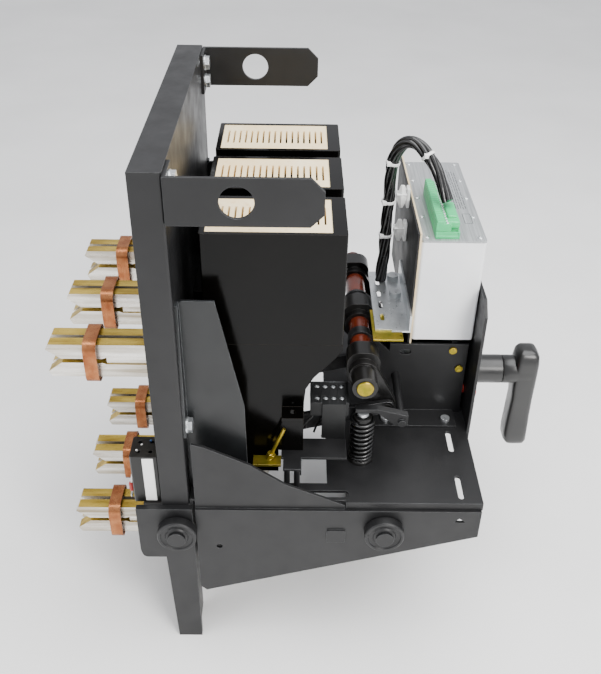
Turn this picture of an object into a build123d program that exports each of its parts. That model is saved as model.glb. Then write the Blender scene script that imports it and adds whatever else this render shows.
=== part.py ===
"""Three-pole drawout low-voltage power circuit breaker with a manual handle.

Frame: +X towards the operator's right, -Y the operator's side (front), +Y the rear with the
primary disconnects, +Z up. The origin is at mid length and mid width, at the bottom of the legs.
"""
import os
from math import cos, radians, sin

from build123d import *

# ---- driving dimensions, in mm ----
sheet = 3.0
gap = 0.3                     # clearance between curved faces that move past each other

panel_width = 337.0
panel_height = 560.0
panel_depth = 27.6
panel_front = 130.5
leg_width = 38.0
leg_height = 45.0

frame_half = 175.0            # outer face of the side plates
bracket_thickness = 6.4
side_top = 201.0
platform_top = 210.0
front_edge = -164.0

pole_pitch = 92.0
pole_width = 74.8
pole_wall = 5.0
chute_front = -18.4
chute_rear = 110.4
chute_bottom = 372.0
chute_top = 487.0

stud_width = 26.0
stud_thickness = 8.0
stud_rear = 210.0
upper_level = 334.0
lower_level = 113.0
finger_tip = 268.0

bar_y, bar_z = -44.0, 305.0           # crossbar axis
bar_radius = 8.7
hinge_y, hinge_z = 80.0, 135.0        # pivot of the moving contact arms
open_angle = 17.0                     # forward tilt of the arms when open
arm_pin_height = 110.0                # from the pivot to the drive link's pin
crank_y, crank_z = -69.9, 268.2       # crank pins of the crossbar
hub_offset, hub_length = 14.0, 22.0   # hub of each pole, from the pole's middle
crank_offset = 5.0
link_play = 3.2                       # clearance of the link's rear eye round the arm's pin

mech_near, mech_far = -29.0, 57.0     # outer faces of the mechanism plates
handle_x, handle_z = 14.0, 240.0
cam_y = -98.0

roller_radius = 20.0
front_roller = (-66.0, 175.0)
rear_roller = (143.5, 172.0)
roller_width = 11.0

unit_left, unit_right = -28.3, 165.2
unit_front, unit_rear = -163.4, -98.3
unit_bottom, unit_top = 309.5, 428.6

trip_y, trip_z = -84.0, 262.0
loom_x = 4.0                          # where the loom enters the plug
actuator_x = -106.5

grip_front = -255.0
middle_y = (finger_tip + grip_front) / 2  # mid length, from the plane the sizes are drawn from

panel_rear = panel_front + panel_depth
poles = {"a": -pole_pitch, "b": 0.0, "c": pole_pitch}
sides = {"left": -1, "right": 1}
levels = {"upper": upper_level, "lower": lower_level}


def save(piece, name):
    """Move a finished piece to the object's frame, label it and write its STEP file."""
    piece = piece.moved(Location((0, -middle_y, 0)))
    piece.label = name
    export_step(piece, f"parts/{name}.step")


def lengthwise(x):
    """A plane across X at x: local axes are Y and Z, extrusions run towards +X."""
    return Plane.YZ.offset(x)


def crosswise(y):
    """A plane across Y at y: local axes are X and Z, extrusions run towards -Y."""
    return Plane.XZ.offset(-y)


def level(z):
    """A horizontal plane at height z."""
    return Plane.XY.offset(z)


def make_rear_panel():
    with BuildPart() as rear_panel:
        with BuildSketch(crosswise(panel_rear)):
            with Locations((0, panel_height / 2)):
                Rectangle(panel_width, panel_height)
        extrude(amount=panel_depth)
        fillet(rear_panel.edges().filter_by(Axis.Z).group_by(Axis.Y)[0], 2.5)
        with BuildSketch(crosswise(panel_rear)):
            with Locations((0, panel_height / 2)):
                Rectangle(panel_width - 2 * sheet, panel_height - 2 * sheet)
        extrude(amount=panel_depth - sheet, mode=Mode.SUBTRACT)
        with BuildSketch(crosswise(panel_rear)):
            with Locations((0, leg_height / 2)):
                Rectangle(panel_width - 2 * leg_width, leg_height)
            for stud_z in levels.values():
                with Locations((0, stud_z)):
                    with GridLocations(pole_pitch, 1, 3, 1):
                        Rectangle(50, 40)
        extrude(amount=panel_depth, mode=Mode.SUBTRACT)
        with BuildSketch(lengthwise(-panel_width / 2)):
            with BuildLine():
                Polyline((panel_rear + 1, 131), (panel_rear, 131), (panel_rear - 5, 0),
                         (panel_rear + 1, 0), close=True)
            make_face()
        extrude(amount=panel_width, mode=Mode.SUBTRACT)
    save(rear_panel.part, "rear_panel")


def make_side_brackets():
    """Plates beside the panel that carry the rear rollers and end in the legs."""
    with BuildPart() as side_brackets:
        with BuildSketch(lengthwise(-frame_half)) as outline:
            with BuildLine():
                Polyline((127.5, 0), (panel_rear - 5, 0), (panel_rear, 131), (181.5, 131),
                         (184, 142), (184, side_top), (127.5, side_top), close=True)
            make_face()
            fillet(outline.vertices().group_by(Axis.X)[-2], 6)
            with Locations(rear_roller):
                Circle(6, mode=Mode.SUBTRACT)
        extrude(amount=bracket_thickness)
        mirror(about=Plane.YZ)
    save(side_brackets.part, "side_brackets")


def make_side_plates():
    """Tapered side sheets with their top flanges and the raised gussets beside the poles."""
    lower_rear, lower_front = (118.5, 79), (front_edge + 1, 165.5)
    with BuildPart() as side_plates:
        with BuildSketch(lengthwise(-frame_half)):
            with BuildLine():
                Polyline((124.5, side_top), (124.5, 85), lower_rear, lower_front,
                         (front_edge + 1, side_top), close=True)
            make_face()
            with Locations(front_roller):
                Circle(6, mode=Mode.SUBTRACT)
            with Locations((102, 148.3)):
                Circle(3.2, mode=Mode.SUBTRACT)
            with Locations((-142, 188)):
                Triangle(a=12, B=40, C=50, mode=Mode.SUBTRACT)
        extrude(amount=sheet)
        with BuildSketch(level(side_top - sheet)):
            with Locations((-frame_half + 8, (124.5 + front_edge + 1) / 2)):
                Rectangle(16, 124.5 - front_edge - 1)
        extrude(amount=sheet)
        with BuildSketch(lengthwise(-frame_half + sheet)):
            with BuildLine():
                Polyline((124.5, side_top - sheet), (124.5, 285), (112.6, 281.7), (68.5, 259),
                         (34.6, 234), (-25.5, 205.8), (-25.5, side_top - sheet), close=True)
            make_face()
        extrude(amount=sheet)
        with BuildSketch(lengthwise(-frame_half)):
            with Locations((-17.5, 166)):
                RectangleRounded(19, 17, 2)
        extrude(amount=-2)
        mirror(about=Plane.YZ)
    save(side_plates.part, "side_plates")


def make_platform():
    half_width = frame_half - sheet
    depth = 130.0 - front_edge
    with BuildPart() as platform:
        with BuildSketch(level(platform_top)):
            with Locations((0, (130.0 + front_edge) / 2)):
                Rectangle(2 * half_width, depth)
        extrude(amount=-(platform_top - side_top))
        with BuildSketch(level(side_top)):
            with Locations((0, (130.0 + front_edge) / 2)):
                Rectangle(2 * (half_width - sheet), depth - 2 * sheet)
        extrude(amount=platform_top - side_top - sheet, mode=Mode.SUBTRACT)
        with BuildSketch(level(platform_top)):
            # clearance beside the gussets, the pole opening, the spring rod hole and the slots
            for side in sides.values():
                with Locations((side * half_width, 52)):
                    Rectangle(2 * sheet + 0.4, 157)
                with Locations((side * 160, -8)):
                    SlotOverall(44, 9, rotation=90)
            with Locations((0, 62)):
                Rectangle(290, 140)
            with Locations((handle_x, cam_y)):
                Circle(7.5)
            for slot_x in (-149, -79, 79, 149):
                with Locations((slot_x, -143)):
                    SlotOverall(33, 6)
        extrude(amount=-20, mode=Mode.SUBTRACT)
    save(platform.part, "platform")


def make_side_barriers():
    """Bent insulating sheets between the outer poles and the frame's sides."""
    with BuildPart() as side_barriers:
        with BuildSketch(lengthwise(-152)):
            with BuildLine():
                Polyline((panel_front, 211), (panel_front, 433), (97, 433), (73.5, 316),
                         (72, 232), close=True)
            make_face()
        extrude(amount=2.5)
        fillet(side_barriers.edges().filter_by(Axis.X).sort_by(Axis.Z)[-2], 6)
        with BuildSketch(crosswise(panel_front)):
            with BuildLine():
                Polyline((-168.4, 290), (-152, 290), (-152, 433), (-160, 433), close=True)
            make_face()
            with Locations((-160.5, 300)):
                Circle(3.05, mode=Mode.SUBTRACT)
        extrude(amount=2.5)
        mirror(about=Plane.YZ)
    save(side_barriers.part, "side_barriers")


def make_lifting_ears():
    foot = 34.0
    with BuildPart() as lifting_ears:
        with BuildSketch(lengthwise(-171.5)) as strip:
            with BuildLine():
                Polyline((panel_front, 515.9), (panel_front, 557.6), (4.1, 557.6), (4.1, 515.9),
                         close=True)
            make_face()
            chamfer(strip.vertices().group_by(Axis.X)[0], 11)
            with Locations((73.4, 536.75)):
                Circle(14.1, mode=Mode.SUBTRACT)
        extrude(amount=sheet)
        with BuildSketch(crosswise(panel_front)):
            with Locations((-171.5 + foot / 2, 536.75)):
                Rectangle(foot, 41.7)
            with Locations((-150, 527), (-150, 546.5)):
                Circle(4.1, mode=Mode.SUBTRACT)
        extrude(amount=sheet)
        mirror(about=Plane.YZ)
    save(lifting_ears.part, "lifting_ears")


def make_frame_bolts():
    """Hex bolts of the ears, barriers and shelf, and the screws of the mechanism plates' feet."""
    ear_spots = [(side * 150, z) for side in (-1, 1) for z in (527, 546.5)]
    barrier_spots = [(side * 160.5, 300) for side in (-1, 1)]
    with BuildPart() as frame_bolts:
        for spots, face, shank in ((ear_spots, panel_front - sheet, 4.0),
                                   (barrier_spots, panel_front - 2.5, 3.0)):
            with BuildSketch(crosswise(face)):
                with Locations(*spots):
                    RegularPolygon(6.35, 6, major_radius=False)
            extrude(amount=5.5)
            with BuildSketch(crosswise(face)):
                with Locations(*spots):
                    Circle(8)
            extrude(amount=1.5)
            with BuildSketch(crosswise(face)):
                with Locations(*spots):
                    Circle(shank)
            extrude(amount=-(sheet - 0.4 if shank > 3.5 else 2.1))
        with BuildSketch(level(platform_top + sheet)):
            with Locations((-46, -75), (-46, -142), (74, -75), (74, -142)):
                Circle(5)
        extrude(amount=3)
        with BuildSketch(level(330)):
            with Locations((26, -84), (62, -84)):
                RegularPolygon(6, 6, major_radius=False)
        extrude(amount=6)
    save(frame_bolts.part, "frame_bolts")


def make_mechanism_plates():
    """Two plates that carry the crossbar, the trip bar and the trip unit."""
    top = 303.5
    with BuildPart() as mechanism_plates:
        for outer, inward in ((mech_near, 1), (mech_far, -1)):
            with BuildSketch(lengthwise(outer)):
                with BuildLine():
                    CenterArc((bar_y, bar_z), 14, 0, 360)
                    Line((-80, platform_top), (-80, 290))
                make_hull()
                with BuildLine():
                    Polyline((-160.5, platform_top), (-160.5, top), (-76, top),
                             (-76, platform_top), close=True)
                make_face()
                with Locations((bar_y, bar_z)):
                    Circle(bar_radius + 0.05, mode=Mode.SUBTRACT)
                with Locations((trip_y, trip_z)):
                    Circle(4.05, mode=Mode.SUBTRACT)
                with Locations((-93, 293)):
                    SlotOverall(12, 6, mode=Mode.SUBTRACT)
            extrude(amount=inward * sheet)
            with BuildSketch(level(platform_top)):
                with Locations((outer - inward * 14, -108)):
                    Rectangle(28, 90)
            extrude(amount=sheet)
    save(mechanism_plates.part, "mechanism_plates")


def make_mechanism_rivets():
    with BuildPart() as mechanism_rivets:
        for outer, outward in ((mech_near, -1), (mech_far, 1)):
            with BuildSketch(lengthwise(outer)):
                with Locations((-144, 296), (-153, 272)):
                    Circle(4.2)
            extrude(amount=outward * 1.8)
    save(mechanism_rivets.part, "mechanism_rivets")


def make_front_plate():
    left, right, bottom, top = -63.0, 103.0, 168.0, 374.0
    with BuildPart() as front_plate:
        with BuildSketch(crosswise(front_edge)) as outline:
            with Locations(((left + right) / 2, (bottom + top) / 2)):
                Rectangle(right - left, top - bottom)
            chamfer(outline.vertices().group_by(Axis.Y)[-1], 14)
            with Locations((handle_x, handle_z)):
                Circle(9.55, mode=Mode.SUBTRACT)
            with Locations((-18, 236)):
                Circle(5.0, mode=Mode.SUBTRACT)
            with Locations((60, 285)):
                RectangleRounded(34, 16, 2, mode=Mode.SUBTRACT)
        extrude(amount=sheet)
    save(front_plate.part, "front_plate")


def make_spring_housing():
    """Housing of the closing spring under the platform; the breaker stands on it and the legs."""
    left, right, front, rear = handle_x - 45, handle_x + 45, -124.0, -44.0
    with BuildPart() as spring_housing:
        with BuildSketch(level(0)):
            with Locations(((left + right) / 2, (front + rear) / 2)):
                Rectangle(right - left, rear - front)
        extrude(amount=platform_top - sheet)
        with BuildSketch(level(sheet)):
            with Locations(((left + right) / 2, (front + rear) / 2)):
                Rectangle(right - left - 2 * sheet, rear - front - 2 * sheet)
        extrude(amount=platform_top, mode=Mode.SUBTRACT)
        with BuildSketch(lengthwise(left)):
            with Locations(((front + rear) / 2, 105)):
                RectangleRounded(46, 120, 6)
        extrude(amount=right - left, mode=Mode.SUBTRACT)
    save(spring_housing.part, "spring_housing")


def make_pole_bases():
    """Moulded base of each pole: two side walls and a rear wall, and ears on the outer sides."""
    outer_side = pole_pitch + pole_width / 2
    rear = panel_front - 0.1
    rear_wall = 12.0
    with BuildPart() as pole_bases:
        for x in poles.values():
            with BuildSketch(lengthwise(x - pole_width / 2)):
                with BuildLine():
                    Polyline((chute_front, chute_bottom), (chute_front, 366), (-12, 357),
                             (8, 334), (15.5, 320), (17, 304), (17, 241), (42, 241), (42, 212),
                             (96, 212), (96, 88), (rear, 88), (rear, chute_bottom), close=True)
                make_face()
            extrude(amount=pole_width)
        with BuildSketch(level(80)):
            with Locations((0, (rear - rear_wall + chute_front - 10) / 2)):
                with GridLocations(pole_pitch, 1, 3, 1):
                    Rectangle(pole_width - 2 * pole_wall, rear - rear_wall - chute_front + 10)
        extrude(amount=chute_bottom, mode=Mode.SUBTRACT)
        with BuildSketch(crosswise(rear)):
            for stud_z in levels.values():
                with Locations((0, stud_z)):
                    with GridLocations(pole_pitch, 1, 3, 1):
                        Rectangle(stud_width, stud_thickness)
        extrude(amount=rear_wall, mode=Mode.SUBTRACT)
        with BuildSketch(level(294)):
            with GridLocations(2 * (outer_side + 8), 1, 2, 1):
                with Locations((0, 28)):
                    Rectangle(20, 21)
                    Circle(2.9, mode=Mode.SUBTRACT)
        extrude(amount=4)
    save(pole_bases.part, "pole_bases")


def make_arc_chute(name, x):
    """Fibre box of one arc chute, open below, with a rebate for the ceramic grid on top."""
    mid_y = (chute_front + chute_rear) / 2
    length = chute_rear - chute_front
    grid_front, grid_rear = chute_front + 13, chute_rear - 5
    with BuildPart() as arc_chute:
        with BuildSketch(level(chute_bottom)):
            with Locations((x, mid_y)):
                Rectangle(pole_width, length)
        extrude(amount=chute_top - chute_bottom)
        fillet(arc_chute.edges().filter_by(Axis.Z), 2)
        with BuildSketch(level(chute_bottom)):
            with Locations((x, (grid_front + grid_rear) / 2)):
                Rectangle(pole_width - 16, grid_rear - grid_front - 8)
        extrude(amount=chute_top - chute_bottom, mode=Mode.SUBTRACT)
        with BuildSketch(level(chute_top)):
            with Locations((x, (grid_front + grid_rear) / 2)):
                Rectangle(pole_width - 9, grid_rear - grid_front)
        extrude(amount=-10, mode=Mode.SUBTRACT)
    save(arc_chute.part, f"arc_chute_{name}")


def make_chute_grids():
    """Slotted ceramic inserts in the tops of the chutes."""
    grid_front, grid_rear = chute_front + 13, chute_rear - 5
    slits, slit_length, slit_width = 17, 34.0, 1.9
    length = grid_rear - grid_front
    with BuildPart() as chute_grids:
        for x in poles.values():
            with BuildSketch(level(chute_top - 10)):
                with Locations((x, (grid_front + grid_rear) / 2)):
                    Rectangle(pole_width - 9, length)
                    with GridLocations(1, length / (slits + 1), 1, slits):
                        Rectangle(slit_length, slit_width, mode=Mode.SUBTRACT)
            extrude(amount=9.4)
    save(chute_grids.part, "chute_grids")


def make_splitter_plates():
    """Steel arc splitter plates, held in the chutes' side walls."""
    grid_front, grid_rear = chute_front + 13, chute_rear - 5
    plates = 11
    with BuildPart() as splitter_plates:
        with BuildSketch(level(chute_bottom + 12)):
            with Locations((0, (grid_front + grid_rear) / 2)):
                with GridLocations(pole_pitch, (grid_rear - grid_front) / (plates + 1), 3, plates):
                    Rectangle(pole_width - 16, 1.6)
        extrude(amount=86)
    save(splitter_plates.part, "splitter_plates")


def make_studs(name, stud_z):
    with BuildPart() as studs:
        with BuildSketch(crosswise(stud_rear)):
            with Locations((0, stud_z)):
                with GridLocations(pole_pitch, 1, 3, 1):
                    Rectangle(stud_width, stud_thickness)
        extrude(amount=stud_rear - 100)
    save(studs.part, f"{name}_studs")


def make_fixed_contacts():
    """Stationary contact blocks above, and the forked hinge contacts below."""
    with BuildPart() as fixed_contacts:
        for x in poles.values():
            with BuildSketch(lengthwise(x - 13)):
                with Locations((96.8, upper_level)):
                    RectangleRounded(6.4, 34, 1.5)
            extrude(amount=26)
            for inner in (x - 17, x + 12):
                with BuildSketch(lengthwise(inner)):
                    with Locations((hinge_y, hinge_z)):
                        Circle(15)
                    with BuildLine():
                        Polyline((hinge_y - 4, hinge_z - 14), (100, 107), (100, 126),
                                 (hinge_y + 10, hinge_z + 11), close=True)
                    make_face()
                    with Locations((hinge_y, hinge_z)):
                        Circle(6.05, mode=Mode.SUBTRACT)
                extrude(amount=5)
            with BuildSketch(lengthwise(x - 17)):
                with Locations((98.5, 112)):
                    Rectangle(3, 12)
            extrude(amount=34)
    save(fixed_contacts.part, "fixed_contacts")


def make_fingers(name, stud_z):
    """Two fingers above and two below each stud, their tips flared to guide a bus stab."""
    base_y, height, thickness = 162.0, 15.0, 12.0
    inner = stud_thickness / 2
    with BuildPart() as fingers:
        for x in poles.values():
            for side in (-1, 1):
                for up in (-1, 1):
                    with BuildSketch(lengthwise(x + side * 8.5 - thickness / 2)):
                        with BuildLine():
                            Polyline((base_y, stud_z + up * inner),
                                     (stud_rear, stud_z + up * inner),
                                     (stud_rear + 4, stud_z + up * (inner - 1.6)),
                                     (finger_tip - 14, stud_z + up * (inner - 1.6)),
                                     (finger_tip, stud_z + up * (inner + 9)),
                                     (finger_tip - 3, stud_z + up * (inner + height)),
                                     (base_y, stud_z + up * (inner + height)), close=True)
                        make_face()
                    extrude(amount=thickness)
    save(fingers.part, f"{name}_fingers")


def make_finger_bands():
    """Copper-coloured retaining bands round the fingers, with leaf springs inside."""
    with BuildPart() as finger_bands:
        for stud_z in levels.values():
            with BuildSketch(crosswise(230.5)) as ring:
                with Locations((0, stud_z)):
                    with GridLocations(pole_pitch, 1, 3, 1):
                        RectangleRounded(44, 48, 10)
                        RectangleRounded(40.8, 44.8, 8.5, mode=Mode.SUBTRACT)
            extrude(amount=13)
            with BuildSketch(crosswise(229.5)):
                with Locations((0, stud_z + 20.7), (0, stud_z - 20.7)):
                    with GridLocations(pole_pitch, 1, 3, 1):
                        Rectangle(24, 3.4)
            extrude(amount=11)
    save(finger_bands.part, "finger_bands")


def make_stud_insulators():
    depths = {"a": 6.0, "b": 24.0, "c": 6.0}
    with BuildPart() as stud_insulators:
        for name, x in poles.items():
            with BuildSketch(crosswise(panel_rear)):
                with Locations((x, upper_level - 2)):
                    RectangleRounded(60, 78, 4)
                with Locations((x, upper_level)):
                    Rectangle(34, 39, mode=Mode.SUBTRACT)
            extrude(amount=-depths[name])
    save(stud_insulators.part, "stud_insulators")


def make_current_transformers():
    """Ring-type current transformers round the lower studs, behind the panel."""
    with BuildPart() as current_transformers:
        with BuildSketch(crosswise(panel_rear)) as body:
            with Locations((0, lower_level)):
                with GridLocations(pole_pitch, 1, 3, 1):
                    RectangleRounded(70, 84, 8)
                    Rectangle(34, 39, mode=Mode.SUBTRACT)
        extrude(amount=-30)
    save(current_transformers.part, "current_transformers")


def make_secondary_block():
    """Block of secondary contacts at the rear left corner."""
    with BuildPart() as secondary_block:
        with BuildSketch(level(202)):
            with Locations((-150, panel_rear + 14)):
                Rectangle(30, 28)
        extrude(amount=60)
        chamfer(secondary_block.edges().filter_by(Axis.Z), 1.5)
        with BuildSketch(level(262)):
            with Locations((-150, panel_rear + 14)):
                with GridLocations(14, 12, 2, 2):
                    Circle(2.2)
        extrude(amount=-8, mode=Mode.SUBTRACT)
    save(secondary_block.part, "secondary_block")


def make_crossbar():
    bar_left, bar_right = -111.0, 152.0
    with BuildPart() as crossbar_shaft:
        with BuildSketch(lengthwise(bar_left)):
            with Locations((bar_y, bar_z)):
                Circle(bar_radius)
        extrude(amount=bar_right - bar_left)
        chamfer(crossbar_shaft.edges().filter_by(GeomType.CIRCLE), 0.8)
    save(crossbar_shaft.part, "crossbar_shaft")

    hub_far = hub_offset + hub_length
    spans = [(hub_far - pole_pitch, mech_near), (mech_near + sheet + 10.4, crank_offset),
             (hub_far, mech_far - sheet - 10.4), (mech_far + 0.4, pole_pitch + crank_offset),
             (pole_pitch + hub_far, 149)]
    with BuildPart() as crossbar_sleeves:
        for start, end in spans:
            with BuildSketch(lengthwise(start + 0.3)):
                with Locations((bar_y, bar_z)):
                    Circle(11.5)
                    Circle(bar_radius, mode=Mode.SUBTRACT)
            extrude(amount=end - start - 0.6)
    save(crossbar_sleeves.part, "crossbar_sleeves")

    with BuildPart() as crossbar_bearings:
        for start in (mech_near + sheet, mech_far - sheet - 10):
            with BuildSketch(lengthwise(start)):
                with Locations((bar_y, bar_z)):
                    Circle(13)
                    Circle(bar_radius + 0.05, mode=Mode.SUBTRACT)
            extrude(amount=10)
    save(crossbar_bearings.part, "crossbar_bearings")


def make_crossbar_hubs():
    """Moulded hubs on the crossbar, each with a crank and its pin, and a collar at the left end."""
    collar_start = -109.0
    with BuildPart() as crossbar_hubs:
        for x in poles.values():
            with BuildSketch(lengthwise(x + hub_offset)):
                with Locations((bar_y, bar_z)):
                    RectangleRounded(34, 42, 13)
            extrude(amount=hub_length)
            with BuildSketch(lengthwise(x + crank_offset)):
                with BuildLine():
                    CenterArc((bar_y, bar_z), 15, 0, 360)
                    CenterArc((crank_y, crank_z), 9, 0, 360)
                make_hull()
            extrude(amount=hub_offset - crank_offset)
            with BuildSketch(lengthwise(x - 1.2)):
                with Locations((crank_y, crank_z)):
                    Circle(4)
            extrude(amount=crank_offset + 1.2)
        with BuildSketch(lengthwise(collar_start)):
            with Locations((bar_y, bar_z)):
                Circle(13)
        extrude(amount=crank_offset - pole_pitch - collar_start)
        with BuildSketch(lengthwise(-200)):
            with Locations((bar_y, bar_z)):
                Circle(bar_radius)
        extrude(amount=400, mode=Mode.SUBTRACT)
    save(crossbar_hubs.part, "crossbar_hubs")


def make_drive_links():
    tilt = radians(open_angle)
    pin_y, pin_z = hinge_y - arm_pin_height * sin(tilt), hinge_z + arm_pin_height * cos(tilt)
    with BuildPart() as drive_links:
        for x in poles.values():
            with BuildSketch(lengthwise(x - 1)):
                with BuildLine():
                    CenterArc((crank_y, crank_z), 7, 0, 360)
                    CenterArc((pin_y, pin_z), 11, 0, 360)
                make_hull()
                with Locations((crank_y, crank_z)):
                    Circle(4.05, mode=Mode.SUBTRACT)
                with Locations((pin_y, pin_z)):
                    Circle(4 + link_play, mode=Mode.SUBTRACT)
            extrude(amount=5)
    save(drive_links.part, "drive_links")


def make_moving_contacts():
    """Pairs of contact blades, drawn upright on their pivot and then tilted forward (open)."""
    pivot = Axis((0, hinge_y, hinge_z), (1, 0, 0))
    blade = 7.0
    with BuildPart() as blades:
        for x in poles.values():
            for start in (x - 4.5 - blade, x + 4.5):
                with BuildSketch(lengthwise(start)):
                    with BuildLine():
                        Polyline((hinge_y - 11, hinge_z - 6), (hinge_y - 11, hinge_z + 196),
                                 (hinge_y - 3, hinge_z + 218), (hinge_y + 8, hinge_z + 218),
                                 (hinge_y + 14, hinge_z + 210), (hinge_y + 14, hinge_z + 188),
                                 (hinge_y + 8, hinge_z + 176), (hinge_y + 8, hinge_z - 6),
                                 close=True)
                    make_face()
                    with Locations((hinge_y, hinge_z)):
                        Circle(13)
                        Circle(6, mode=Mode.SUBTRACT)
                    with Locations((hinge_y, hinge_z + arm_pin_height)):
                        Circle(4, mode=Mode.SUBTRACT)
                extrude(amount=blade)
    save(blades.part.rotate(pivot, open_angle), "moving_contacts")

    with BuildPart() as pins:
        for x in poles.values():
            with BuildSketch(lengthwise(x - 18)):
                with Locations((hinge_y, hinge_z)):
                    Circle(6)
            extrude(amount=36)
            with BuildSketch(lengthwise(x - 12)):
                with Locations((hinge_y, hinge_z + arm_pin_height)):
                    Circle(4)
            extrude(amount=24)
    save(pins.part.rotate(pivot, open_angle), "contact_pins")


def make_pole_feet():
    """Steel foot plates in front of the outer poles, on posts beside the pole opening."""
    with BuildPart() as pole_feet:
        with BuildSketch(level(238)) as plates:
            with Locations((-125.5, 6)):
                Rectangle(29, 66)
            with Locations((-68, 29)):
                Rectangle(22, 22)
            fillet(plates.vertices().group_by(Axis.Y)[-1], 5)
            with Locations((-148, 28)):
                Rectangle(18, 18)
            with Locations((-123, 26), (-67.5, 26)):
                Circle(3.4, mode=Mode.SUBTRACT)
        extrude(amount=2.5)
        with BuildSketch(crosswise(21)):
            with Locations((-98.5, 222)):
                Rectangle(83, 12)
            with Locations((-125.5, 230)):
                Rectangle(29, 16)
            with Locations((-68, 230)):
                Rectangle(22, 16)
        extrude(amount=2.5)
        with BuildSketch(level(platform_top)):
            with Locations((-152, 33), (-152, 23)):
                Circle(3)
        extrude(amount=28)
        mirror(about=Plane.YZ)
    save(pole_feet.part, "pole_feet")


def make_stay_rod():
    """Yellow-chromate stay between the near pole's foot and its side, with nut and bracket."""
    low, high = Vector(-141, 50, 243), Vector(-141, 36, 279)
    direction = (high - low).normalized()
    with BuildPart() as stay_rod:
        with BuildSketch(Plane(low, z_dir=direction)):
            Circle(1.8)
        extrude(amount=(high - low).length)
        with BuildSketch(Plane(low, z_dir=direction)):
            RegularPolygon(4.5, 6)
        extrude(amount=4)
        with BuildSketch(level(238)):
            with Locations((-144, 53)):
                Rectangle(14, 28)
        extrude(amount=2.5)
        with BuildSketch(Plane(low - direction * 4, z_dir=direction)):
            Circle(3.2)
        extrude(amount=5)
    save(stay_rod.part, "stay_rod")


def make_terminal_block():
    """Auxiliary terminal block on its bracket in front of the near pole."""
    with BuildPart() as terminal_block:
        with BuildSketch(level(268)):
            with Locations((-89.5, -9.5)):
                Rectangle(35, 39)
        extrude(amount=17)
        with BuildSketch(level(285)):
            with Locations((-89.5, -9.5)):
                with GridLocations(19, 8.4, 2, 4):
                    Circle(2.9)
        extrude(amount=-3, mode=Mode.SUBTRACT)
        with BuildSketch(level(240.5)):
            with Locations((-108.5, -14)):
                Rectangle(3, 24)
        extrude(amount=44.5)
    save(terminal_block.part, "terminal_block")


def make_actuator():
    with BuildPart() as trip_actuator:
        with BuildSketch(level(platform_top)):
            with Locations((actuator_x, bar_y)):
                Circle(13)
        extrude(amount=58)
        fillet(trip_actuator.edges().filter_by(GeomType.CIRCLE).sort_by(Axis.Z)[-1], 2.5)
        with BuildSketch(level(platform_top)):
            with Locations((actuator_x, bar_y)):
                Circle(13)
        extrude(amount=6)
        with BuildSketch(level(platform_top + 58)):
            with Locations((actuator_x, bar_y)):
                Circle(4.05)
        extrude(amount=-40, mode=Mode.SUBTRACT)
    save(trip_actuator.part, "trip_actuator")

    with BuildPart() as actuator_plunger:
        with BuildSketch(level(platform_top + 30)):
            with Locations((actuator_x, bar_y)):
                Circle(4)
        extrude(amount=33)
        with BuildSketch(level(platform_top + 60)):
            with Locations((actuator_x, bar_y)):
                Circle(6)
        extrude(amount=3)
    save(actuator_plunger.part, "actuator_plunger")


def make_trip_bar():
    """Bar across the mechanism with levers for the actuator and the manual button."""
    lever_z = platform_top + 64
    with BuildPart() as trip_bar:
        with BuildSketch(lengthwise(-112)):
            with Locations((trip_y, trip_z)):
                Circle(4)
        extrude(amount=mech_far + 3 + 112)
        with BuildSketch(lengthwise(-109)):
            with BuildLine():
                Polyline((trip_y - 6, trip_z - 5), (trip_y - 6, trip_z + 8), (-58, lever_z + 4),
                         (-36, lever_z + 4), (-36, lever_z), (-58, lever_z), (trip_y + 6, trip_z - 5),
                         close=True)
            make_face()
        extrude(amount=8)
        with BuildSketch(lengthwise(-21)):
            with Locations((trip_y, trip_z - 16)):
                Rectangle(4, 34)
            with Locations((trip_y, trip_z)):
                Circle(7)
        extrude(amount=6)
    save(trip_bar.part, "trip_bar")

    with BuildPart() as trip_button:
        with BuildSketch(crosswise(front_edge - sheet - 4.3)):
            with Locations((-18, 236)):
                Circle(8.5)
        extrude(amount=6)
        with BuildSketch(crosswise(front_edge - sheet - 4.3)):
            with Locations((-18, 236)):
                Circle(4.95)
        extrude(amount=-(trip_y - 3.3 - (front_edge - sheet - 4.3)))
    save(trip_button.part, "trip_button")


def make_handle():
    shaft_end = cam_y + 6
    hub_end = -212.0
    with BuildPart() as handle_shaft:
        with BuildSketch(crosswise(shaft_end)):
            with Locations((handle_x, handle_z)):
                Circle(9.5)
        extrude(amount=shaft_end - hub_end)
        with BuildSketch(crosswise(front_edge - sheet - 0.4)):
            with Locations((handle_x, handle_z)):
                Circle(16.5)
        extrude(amount=front_edge - sheet - 0.4 - hub_end)
        chamfer(handle_shaft.edges().filter_by(GeomType.CIRCLE).sort_by(Axis.Y)[0], 1)
    save(handle_shaft.part, "handle_shaft")

    with BuildPart() as charging_cam:
        with BuildSketch(crosswise(cam_y + 6)):
            with Locations((handle_x, handle_z + 8)):
                Circle(18)
            with Locations((handle_x, handle_z)):
                Circle(9.5, mode=Mode.SUBTRACT)
        extrude(amount=12)
    save(charging_cam.part, "charging_cam")

    with BuildPart() as handle_grip:
        with BuildSketch(lengthwise(handle_x - 17)) as outline:
            with BuildLine():
                Polyline((-212, 257), (-224, 257), (-230, 271), (-252.4, 271), (-252.4, 200),
                         (grip_front, 133), (-226, 133), (-227, 216), (-212, 223.5), close=True)
            make_face()
            fillet(outline.vertices().group_by(Axis.Y)[0], 7)
            fillet(outline.vertices().group_by(Axis.Y)[-1].sort_by(Axis.X)[0], 12)
        extrude(amount=34)
        fillet(handle_grip.faces().filter_by(Axis.X).edges(), 4)
    save(handle_grip.part, "handle_grip")


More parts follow.
